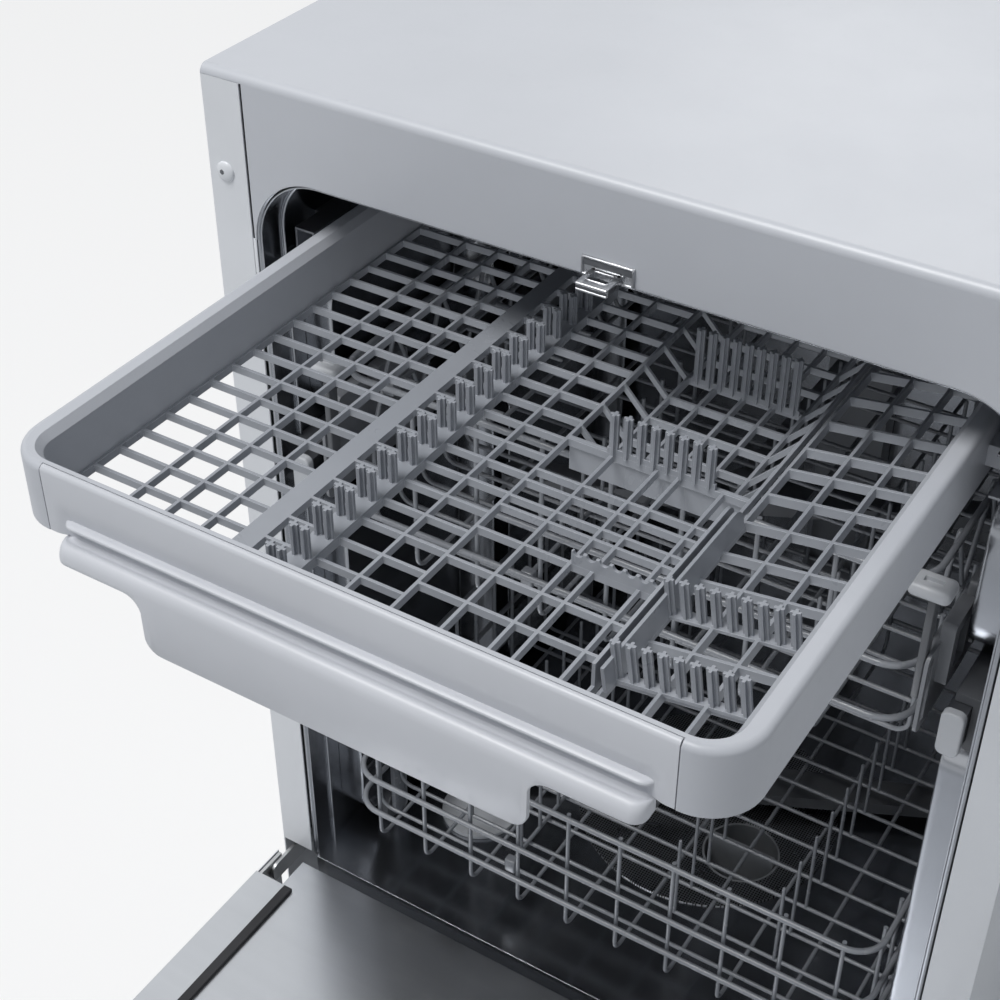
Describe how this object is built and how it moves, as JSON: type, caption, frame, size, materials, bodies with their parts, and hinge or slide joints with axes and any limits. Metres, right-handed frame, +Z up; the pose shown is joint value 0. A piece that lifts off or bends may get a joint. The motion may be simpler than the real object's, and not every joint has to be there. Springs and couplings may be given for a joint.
{
  "type": "freestanding dishwasher",
  "caption": "Freestanding dishwasher with a drop-down door, a pull-out cutlery tray, sliding racks, spray arms, filter, softener and levelling feet.",
  "frame": {"origin": "bottom centre of the machine's box as stored, with its door lying open, on the plane under the feet", "axes": "+X to the machine's right seen from the front, +Y towards its back, +Z up; the door opens towards -Y"},
  "size_m": [0.598, 1.3072, 0.85],
  "materials": {
    "painted_shell": "satin",
    "stainless": "satin",
    "zinc_steel": "satin",
    "striker_chrome": "polished",
    "tray_grey": "satin",
    "cover_grey": "satin",
    "rack_wire": "satin",
    "light_grey_plastic": "satin",
    "dark_grey_plastic": "matt",
    "black_plastic": "matt",
    "white_plastic": "satin",
    "grey_rubber": "matt",
    "display_glass": "polished"
  },
  "bodies": {
    "cabinet": {"base_tray": "black_plastic", "side_panels": "painted_shell", "flange_screws": "painted_shell", "rear_panel": "zinc_steel", "top_panel": "painted_shell", "plinth": "painted_shell", "tub_wrapper": "stainless", "tub_floor": "stainless", "tub_rear_wall": "stainless", "door_striker": "striker_chrome", "sump": "dark_grey_plastic", "filter_plate": "stainless", "circulation_pump": "black_plastic", "drain_pump": "black_plastic", "water_softener": "white_plastic", "water_fittings": "white_plastic", "spray_duct": "light_grey_plastic", "rail_guides": "light_grey_plastic", "tray_rails": "stainless", "hinge_brackets": "zinc_steel", "door_springs": "zinc_steel"},
    "door": {"door_outer_panel": "painted_shell", "door_inner_panel": "stainless", "control_panel": "white_plastic", "display_window": "display_glass", "door_latch": "dark_grey_plastic", "detergent_dispenser": "light_grey_plastic", "door_seal": "grey_rubber", "hinge_arms": "zinc_steel"},
    "latch_claw": {"latch_claw": "zinc_steel"},
    "dispenser_lid": {"dispenser_lid": "light_grey_plastic"},
    "rinse_aid_cap": {"rinse_aid_cap": "light_grey_plastic"},
    "power_button": {"power_button": "light_grey_plastic"},
    "start_button": {"start_button": "light_grey_plastic"},
    "cutlery_tray": {"tray_frame": "tray_grey", "tray_cover": "cover_grey", "tray_grid": "tray_grey"},
    "side_insert": {"side_insert": "tray_grey"},
    "upper_rails": {"upper_rails": "stainless", "rail_end_caps": "light_grey_plastic"},
    "upper_carriage": {"upper_carriage": "light_grey_plastic"},
    "upper_wheels_front": {"upper_wheels_front": "light_grey_plastic"},
    "upper_wheels_rear": {"upper_wheels_rear": "light_grey_plastic"},
    "upper_basket": {"upper_basket": "rack_wire", "height_levers": "light_grey_plastic", "middle_feed": "light_grey_plastic"},
    "upper_tines": {"upper_tines": "rack_wire"},
    "cup_shelf": {"cup_shelf": "rack_wire"},
    "middle_spray_arm": {"middle_spray_arm": "dark_grey_plastic"},
    "lower_basket": {"lower_basket": "rack_wire"},
    "lower_tines": {"lower_tines": "rack_wire"},
    "lower_wheels_front": {"lower_wheels_front": "light_grey_plastic"},
    "lower_wheels_rear": {"lower_wheels_rear": "light_grey_plastic"},
    "filter_cup": {"filter_cup": "light_grey_plastic"},
    "salt_cap": {"salt_cap": "light_grey_plastic"},
    "lower_spray_arm": {"lower_spray_arm": "dark_grey_plastic"},
    "top_spray_arm": {"top_spray_arm": "dark_grey_plastic"},
    "foot_front_left": {"foot_front_left": "dark_grey_plastic"},
    "foot_front_right": {"foot_front_right": "dark_grey_plastic"},
    "feet_rear": {"feet_rear": "dark_grey_plastic"}
  },
  "joints": [
    {"name": "door_hinge", "type": "hinge", "parent": "cabinet", "child": "door", "pos_m": [0, 0.0816, 0.1108], "axis": [1, 0, 0], "range_deg": [-90, 0]},
    {"name": "latch_claw_pivot", "type": "hinge", "parent": "door", "child": "latch_claw", "pos_m": [0.001, -0.6066, 0.0928], "axis": [-1, 0, 0], "range_deg": [0, 10]},
    {"name": "dispenser_lid_slide", "type": "slide", "parent": "door", "child": "dispenser_lid", "axis": [0, -1, 0], "range_m": [0, 0.03]},
    {"name": "rinse_aid_cap_hinge", "type": "hinge", "parent": "door", "child": "rinse_aid_cap", "pos_m": [0.032, -0.2986, 0.1302], "axis": [1, 0, 0], "range_deg": [0, 90]},
    {"name": "power_button_press", "type": "slide", "parent": "door", "child": "power_button", "axis": [0, 0, 1], "range_m": [0, 0.002], "stiffness_N_per_m": 400},
    {"name": "start_button_press", "type": "slide", "parent": "door", "child": "start_button", "axis": [0, 0, 1], "range_m": [0, 0.002], "stiffness_N_per_m": 400},
    {"name": "tray_slide", "type": "slide", "parent": "cabinet", "child": "cutlery_tray", "axis": [0, -1, 0], "range_m": [-0.29, 0]},
    {"name": "side_insert_tilt", "type": "hinge", "parent": "cutlery_tray", "child": "side_insert", "pos_m": [0.1318, 0.1016, 0.705], "axis": [0, 1, 0], "range_deg": [0, 8]},
    {"name": "upper_rack_slide", "type": "slide", "parent": "cabinet", "child": "upper_carriage", "axis": [0, -1, 0], "range_m": [0, 0.48]},
    {"name": "upper_rail_slide", "type": "slide", "parent": "cabinet", "child": "upper_rails", "axis": [0, -1, 0], "range_m": [0, 0.24]},
    {"name": "upper_wheels_front_roll", "type": "hinge", "parent": "upper_carriage", "child": "upper_wheels_front", "pos_m": [0, 0.4016, 0.5415], "axis": [1, 0, 0], "range_deg": [-5, 1100]},
    {"name": "upper_wheels_rear_roll", "type": "hinge", "parent": "upper_carriage", "child": "upper_wheels_rear", "pos_m": [0, 0.5416, 0.5415], "axis": [1, 0, 0], "range_deg": [-5, 1100]},
    {"name": "basket_lift", "type": "slide", "parent": "upper_carriage", "child": "upper_basket", "axis": [0, 0, 1], "range_m": [-0.045, 0]},
    {"name": "upper_tines_fold", "type": "hinge", "parent": "upper_basket", "child": "upper_tines", "pos_m": [-0.078, 0.3516, 0.4945], "axis": [0, 1, 0], "range_deg": [-90, 0]},
    {"name": "cup_shelf_fold", "type": "hinge", "parent": "upper_basket", "child": "cup_shelf", "pos_m": [-0.2032, 0.3416, 0.604], "axis": [0, 1, 0], "range_deg": [-90, 0]},
    {"name": "middle_spray_arm_spin", "type": "hinge", "parent": "upper_basket", "child": "middle_spray_arm", "pos_m": [0, 0.3516, 0.467], "axis": [0, 0, 1], "continuous": true},
    {"name": "lower_rack_slide", "type": "slide", "parent": "cabinet", "child": "lower_basket", "axis": [0, -1, 0], "range_m": [0, 0.48]},
    {"name": "lower_tines_fold", "type": "hinge", "parent": "lower_basket", "child": "lower_tines", "pos_m": [-0.091, 0.3516, 0.1775], "axis": [0, 1, 0], "range_deg": [-90, 0]},
    {"name": "lower_wheels_front_roll", "type": "hinge", "parent": "lower_basket", "child": "lower_wheels_front", "pos_m": [0, 0.1796, 0.1413], "axis": [1, 0, 0], "range_deg": [-5, 1845]},
    {"name": "lower_wheels_rear_roll", "type": "hinge", "parent": "lower_basket", "child": "lower_wheels_rear", "pos_m": [0, 0.5116, 0.1413], "axis": [1, 0, 0], "range_deg": [-5, 1845]},
    {"name": "filter_cup_twist", "type": "hinge", "parent": "cabinet", "child": "filter_cup", "pos_m": [0.05, 0.3016, 0.127], "axis": [0, 0, 1], "range_deg": [0, 90]},
    {"name": "salt_cap_twist", "type": "hinge", "parent": "cabinet", "child": "salt_cap", "pos_m": [-0.17, 0.2216, 0.128], "axis": [0, 0, 1], "range_deg": [0, 90]},
    {"name": "lower_spray_arm_spin", "type": "hinge", "parent": "cabinet", "child": "lower_spray_arm", "pos_m": [0, 0.3516, 0.145], "axis": [0, 0, 1], "continuous": true},
    {"name": "top_spray_arm_spin", "type": "hinge", "parent": "cabinet", "child": "top_spray_arm", "pos_m": [0, 0.3516, 0.764], "axis": [0, 0, 1], "continuous": true},
    {"name": "foot_front_left_screw", "type": "slide", "parent": "cabinet", "child": "foot_front_left", "axis": [0, 0, -1], "range_m": [0, 0.02]},
    {"name": "foot_front_right_screw", "type": "slide", "parent": "cabinet", "child": "foot_front_right", "axis": [0, 0, -1], "range_m": [0, 0.02]},
    {"name": "feet_rear_screw", "type": "slide", "parent": "cabinet", "child": "feet_rear", "axis": [0, 0, -1], "range_m": [0, 0.02]}
  ],
  "couplings": [
    {"joint": "tray_slide", "follows": "door_hinge", "m_per_rad": 0.1846},
    {"joint": "upper_rail_slide", "follows": "upper_rack_slide", "ratio": 0.5},
    {"joint": "upper_wheels_front_roll", "follows": "upper_rack_slide", "rad_per_m": 39.683},
    {"joint": "upper_wheels_rear_roll", "follows": "upper_rack_slide", "rad_per_m": 39.683},
    {"joint": "lower_wheels_front_roll", "follows": "lower_rack_slide", "rad_per_m": 66.667},
    {"joint": "lower_wheels_rear_roll", "follows": "lower_rack_slide", "rad_per_m": 66.667}
  ]
}
